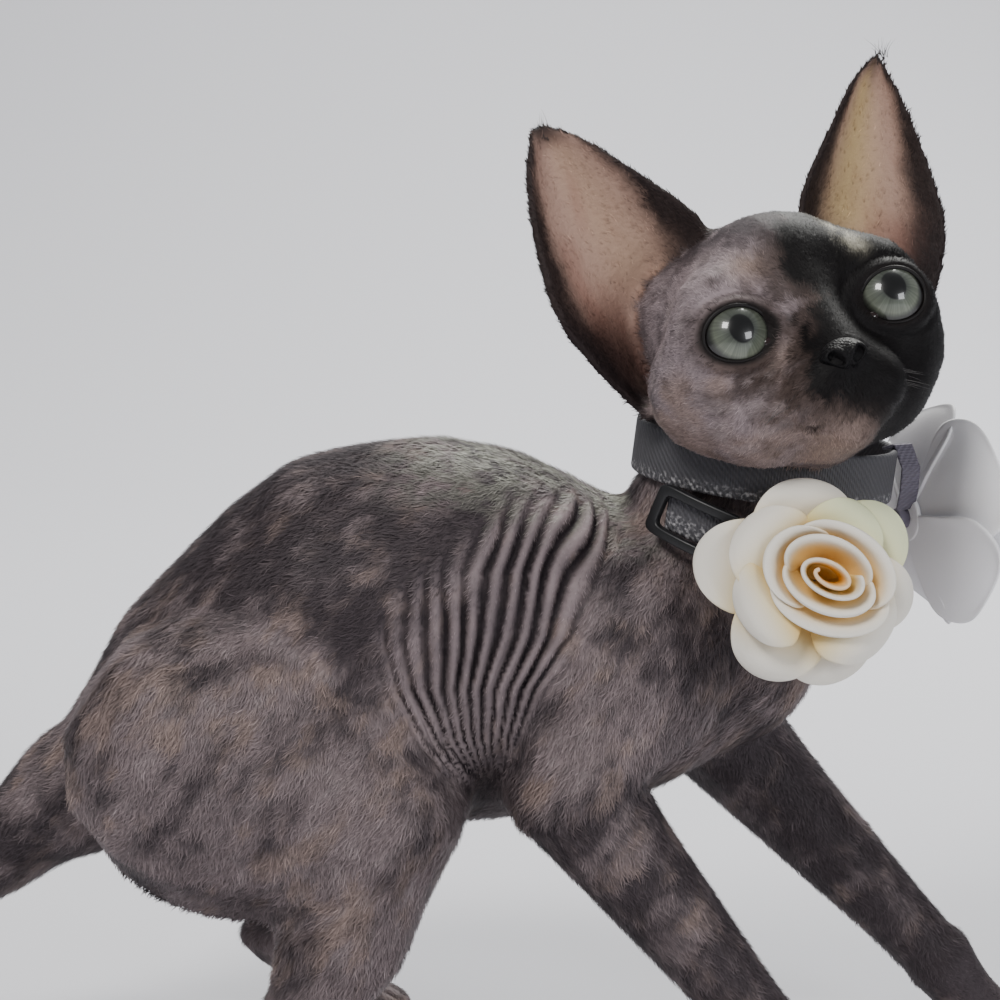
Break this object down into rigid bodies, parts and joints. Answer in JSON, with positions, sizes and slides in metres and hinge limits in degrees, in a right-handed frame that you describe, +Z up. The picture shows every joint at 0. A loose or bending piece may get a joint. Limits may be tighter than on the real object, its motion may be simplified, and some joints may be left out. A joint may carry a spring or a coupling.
{
  "type": "devon rex kitten model",
  "caption": "Still, life-size model of a tortoiseshell Devon Rex kitten standing low on bent legs and looking to its right, with a webbing collar that carries a cream and a white cloth rose.",
  "frame": {"origin": "on the floor, under the middle of the whole outline", "axes": "+Z up, +X towards the front of the body, +Y towards the kitten's left side"},
  "size_m": [0.3616, 0.102, 0.2235],
  "materials": {
    "fur": "short soft wavy fur, dark grey-brown with mauve-grey and tan brindle",
    "ear_skin": "thin bare skin, satin",
    "eye": "wet gloss, grey-green iris with an upright pupil",
    "webbing": "woven dark grey webbing with a bright thread along one edge",
    "slider_plastic": "satin black",
    "cream_cloth": "fine matt petal cloth, orange at the heart and yellow-green at one side",
    "white_cloth": "fine matt petal cloth"
  },
  "bodies": {
    "root": {"torso": "fur", "neck": "fur", "head": "fur", "tail_root": "fur", "tail_middle": "fur", "tail_tip": "fur", "upper_arm_right": "fur", "forearm_right": "fur", "forepaw_right": "fur", "thigh_right": "fur", "shank_right": "fur", "hind_paw_right": "fur", "upper_arm_left": "fur", "forearm_left": "fur", "forepaw_left": "fur", "thigh_left": "fur", "shank_left": "fur", "hind_paw_left": "fur", "eye_right": "eye", "eye_left": "eye", "ear_right": "ear_skin", "ear_left": "ear_skin", "collar": "webbing", "collar_strap": "webbing", "collar_slider": "slider_plastic", "rose_cream": "cream_cloth", "rose_white": "white_cloth"}
  },
  "joints": []
}
